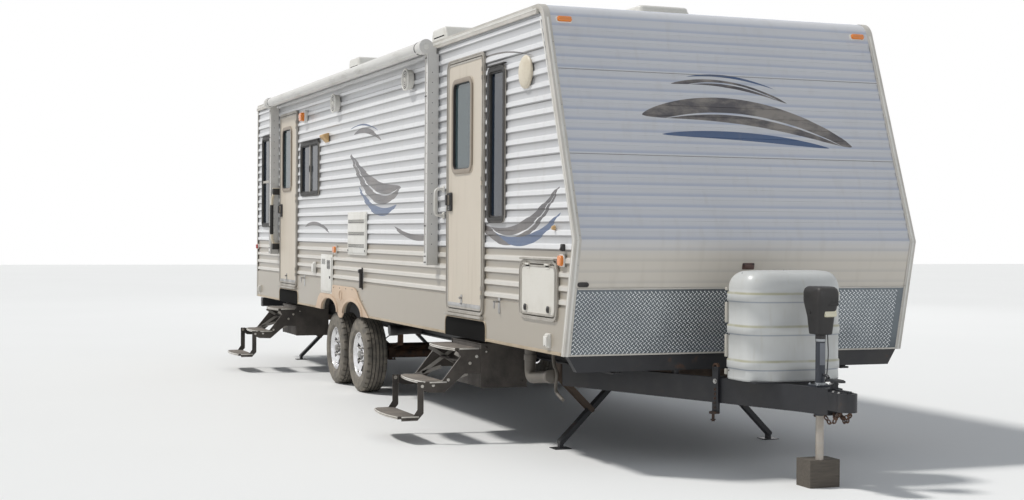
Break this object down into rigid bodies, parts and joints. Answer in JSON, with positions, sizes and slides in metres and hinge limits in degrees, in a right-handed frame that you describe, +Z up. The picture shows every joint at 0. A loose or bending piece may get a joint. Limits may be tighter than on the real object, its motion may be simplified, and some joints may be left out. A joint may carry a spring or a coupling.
{
  "type": "travel caravan",
  "caption": "Long conventional travel caravan on a drawbar chassis with tandem axles, ribbed siding, sloped nose, entry doors with folding steps, jack and stabilisers.",
  "frame": {"origin": "centre of the hitch ball socket in the coupler, 0.5 m above the ground", "axes": "+X towards the towing vehicle, +Y to the road side, -Y to the kerb side with the doors, +Z up; the ground is at z = -0.5 m"},
  "size_m": [10.678, 3.0969, 3.275],
  "materials": {
    "chassis_black": "satin, rusty in places",
    "spring_steel": "rusty",
    "floor_board": "dark underside membrane",
    "wall_panel": "satin panel",
    "roof_membrane": "matte",
    "roof_plastic": "satin",
    "siding_paint": "satin",
    "tread_plate": "bright tread plate",
    "trim_aluminium": "satin",
    "fender_plastic": "satin",
    "window_frame_paint": "satin",
    "tinted_glass": "tinted",
    "awning_vinyl": "matte vinyl",
    "arm_paint": "satin",
    "cover_plastic": "weathered satin",
    "jack_tube_paint": "satin",
    "jack_plastic": "satin",
    "zinc_steel": "zinc plated",
    "weathered_wood": "weathered",
    "fitting_plastic": "satin",
    "lamp_plastic": "moulded lens",
    "handle_plastic": "satin",
    "door_paint": "satin",
    "hatch_paint": "satin",
    "step_paint": "worn satin",
    "alloy": "polished",
    "tyre_rubber": "dusty"
  },
  "bodies": {
    "root": {"rail_kerb": "chassis_black", "rail_road": "chassis_black", "crossmembers": "chassis_black", "coupler": "chassis_black", "drawbar_fittings": "chassis_black", "stabiliser_beams": "chassis_black", "axles": "chassis_black", "leaf_springs": "spring_steel", "bumper": "chassis_black", "floor": "floor_board", "wall_kerb": "wall_panel", "wall_road": "wall_panel", "wall_front": "wall_panel", "wall_rear": "wall_panel", "roof": "roof_membrane", "roof_units": "roof_plastic", "siding_sides": "siding_paint", "siding_ends": "siding_paint", "diamond_plate": "tread_plate", "trim": "trim_aluminium", "fender_skirts": "fender_plastic", "door_frames": "trim_aluminium", "window_frames": "window_frame_paint", "window_glass": "tinted_glass", "awning_roll": "awning_vinyl", "awning_arms": "arm_paint", "lp_cover": "cover_plastic", "jack_body": "jack_tube_paint", "jack_head": "jack_plastic", "cribbing_block": "weathered_wood", "wall_fittings": "fitting_plastic", "lamps": "lamp_plastic", "grab_handles": "handle_plastic", "step_frame_front": "step_paint", "step_frame_rear": "step_paint"},
    "wheel_kerb_front": {"wheel_kerb_front": "alloy", "tyre_kerb_front": "tyre_rubber"},
    "wheel_road_front": {"wheel_road_front": "alloy", "tyre_road_front": "tyre_rubber"},
    "door_front": {"door_front": "door_paint", "door_glass_front": "tinted_glass"},
    "step_lower_front": {"step_lower_front": "step_paint"},
    "brace_front_kerb": {"brace_front_kerb": "chassis_black"},
    "leg_front_kerb": {"leg_front_kerb": "chassis_black"},
    "brace_front_road": {"brace_front_road": "chassis_black"},
    "leg_front_road": {"leg_front_road": "chassis_black"},
    "wheel_kerb_rear": {"wheel_kerb_rear": "alloy", "tyre_kerb_rear": "tyre_rubber"},
    "wheel_road_rear": {"wheel_road_rear": "alloy", "tyre_road_rear": "tyre_rubber"},
    "door_rear": {"door_rear": "door_paint", "door_glass_rear": "tinted_glass"},
    "step_lower_rear": {"step_lower_rear": "step_paint"},
    "brace_rear_kerb": {"brace_rear_kerb": "chassis_black"},
    "leg_rear_kerb": {"leg_rear_kerb": "chassis_black"},
    "brace_rear_road": {"brace_rear_road": "chassis_black"},
    "leg_rear_road": {"leg_rear_road": "chassis_black"},
    "hatch_kerb": {"hatch_kerb": "hatch_paint"},
    "hatch_road": {"hatch_road": "hatch_paint"},
    "jack_ram": {"jack_ram": "zinc_steel"}
  },
  "joints": [
    {"name": "wheel_kerb_front_spin", "type": "hinge", "parent": "root", "child": "wheel_kerb_front", "pos_m": [-6.275, -1.047, -0.156], "axis": [0, 1, 0], "continuous": true},
    {"name": "wheel_road_front_spin", "type": "hinge", "parent": "root", "child": "wheel_road_front", "pos_m": [-6.275, 1.047, -0.156], "axis": [0, 1, 0], "continuous": true},
    {"name": "door_front_hinge", "type": "hinge", "parent": "root", "child": "door_front", "pos_m": [-2.697, -1.235, 1.315], "axis": [0, 0, 1], "range_deg": [0, 160]},
    {"name": "step_front_fold", "type": "hinge", "parent": "root", "child": "step_lower_front", "pos_m": [-3.072, -1.65, -0.092], "axis": [-1, 0, 0], "range_deg": [0, 175]},
    {"name": "brace_front_kerb_swing", "type": "hinge", "parent": "root", "child": "brace_front_kerb", "pos_m": [-2.24, -0.812, -0.02], "axis": [1, 0, 0], "range_deg": [0, 41]},
    {"name": "leg_front_kerb_fold", "type": "hinge", "parent": "brace_front_kerb", "child": "leg_front_kerb", "pos_m": [-2.24, -0.59421, -0.23779], "axis": [1, 0, 0], "range_deg": [-82, 0]},
    {"name": "brace_front_road_swing", "type": "hinge", "parent": "root", "child": "brace_front_road", "pos_m": [-2.24, 0.812, -0.02], "axis": [-1, 0, 0], "range_deg": [0, 41]},
    {"name": "leg_front_road_fold", "type": "hinge", "parent": "brace_front_road", "child": "leg_front_road", "pos_m": [-2.24, 0.59421, -0.23779], "axis": [-1, 0, 0], "range_deg": [-82, 0]},
    {"name": "wheel_kerb_rear_spin", "type": "hinge", "parent": "root", "child": "wheel_kerb_rear", "pos_m": [-7.113, -1.047, -0.156], "axis": [0, 1, 0], "continuous": true},
    {"name": "wheel_road_rear_spin", "type": "hinge", "parent": "root", "child": "wheel_road_rear", "pos_m": [-7.113, 1.047, -0.156], "axis": [0, 1, 0], "continuous": true},
    {"name": "door_rear_hinge", "type": "hinge", "parent": "root", "child": "door_rear", "pos_m": [-8.425, -1.235, 1.315], "axis": [0, 0, 1], "range_deg": [0, 160]},
    {"name": "step_rear_fold", "type": "hinge", "parent": "root", "child": "step_lower_rear", "pos_m": [-8.8, -1.65, -0.092], "axis": [-1, 0, 0], "range_deg": [0, 175]},
    {"name": "brace_rear_kerb_swing", "type": "hinge", "parent": "root", "child": "brace_rear_kerb", "pos_m": [-9.93, -0.812, -0.02], "axis": [1, 0, 0], "range_deg": [0, 41]},
    {"name": "leg_rear_kerb_fold", "type": "hinge", "parent": "brace_rear_kerb", "child": "leg_rear_kerb", "pos_m": [-9.93, -0.59421, -0.23779], "axis": [1, 0, 0], "range_deg": [-82, 0]},
    {"name": "brace_rear_road_swing", "type": "hinge", "parent": "root", "child": "brace_rear_road", "pos_m": [-9.93, 0.812, -0.02], "axis": [-1, 0, 0], "range_deg": [0, 41]},
    {"name": "leg_rear_road_fold", "type": "hinge", "parent": "brace_rear_road", "child": "leg_rear_road", "pos_m": [-9.93, 0.59421, -0.23779], "axis": [-1, 0, 0], "range_deg": [-82, 0]},
    {"name": "hatch_kerb_hinge", "type": "hinge", "parent": "root", "child": "hatch_kerb", "pos_m": [-1.649, -1.235, 0.774], "axis": [-1, 0, 0], "range_deg": [0, 150]},
    {"name": "hatch_road_hinge", "type": "hinge", "parent": "root", "child": "hatch_road", "pos_m": [-1.649, 1.235, 0.774], "axis": [1, 0, 0], "range_deg": [0, 150]},
    {"name": "jack_ram_slide", "type": "slide", "parent": "root", "child": "jack_ram", "axis": [0, 0, 1], "range_m": [0, 0.25]}
  ],
  "couplings": [
    {"joint": "leg_front_kerb_fold", "follows": "brace_front_kerb_swing", "ratio": -2},
    {"joint": "leg_front_road_fold", "follows": "brace_front_road_swing", "ratio": -2},
    {"joint": "leg_rear_kerb_fold", "follows": "brace_rear_kerb_swing", "ratio": -2},
    {"joint": "leg_rear_road_fold", "follows": "brace_rear_road_swing", "ratio": -2}
  ]
}
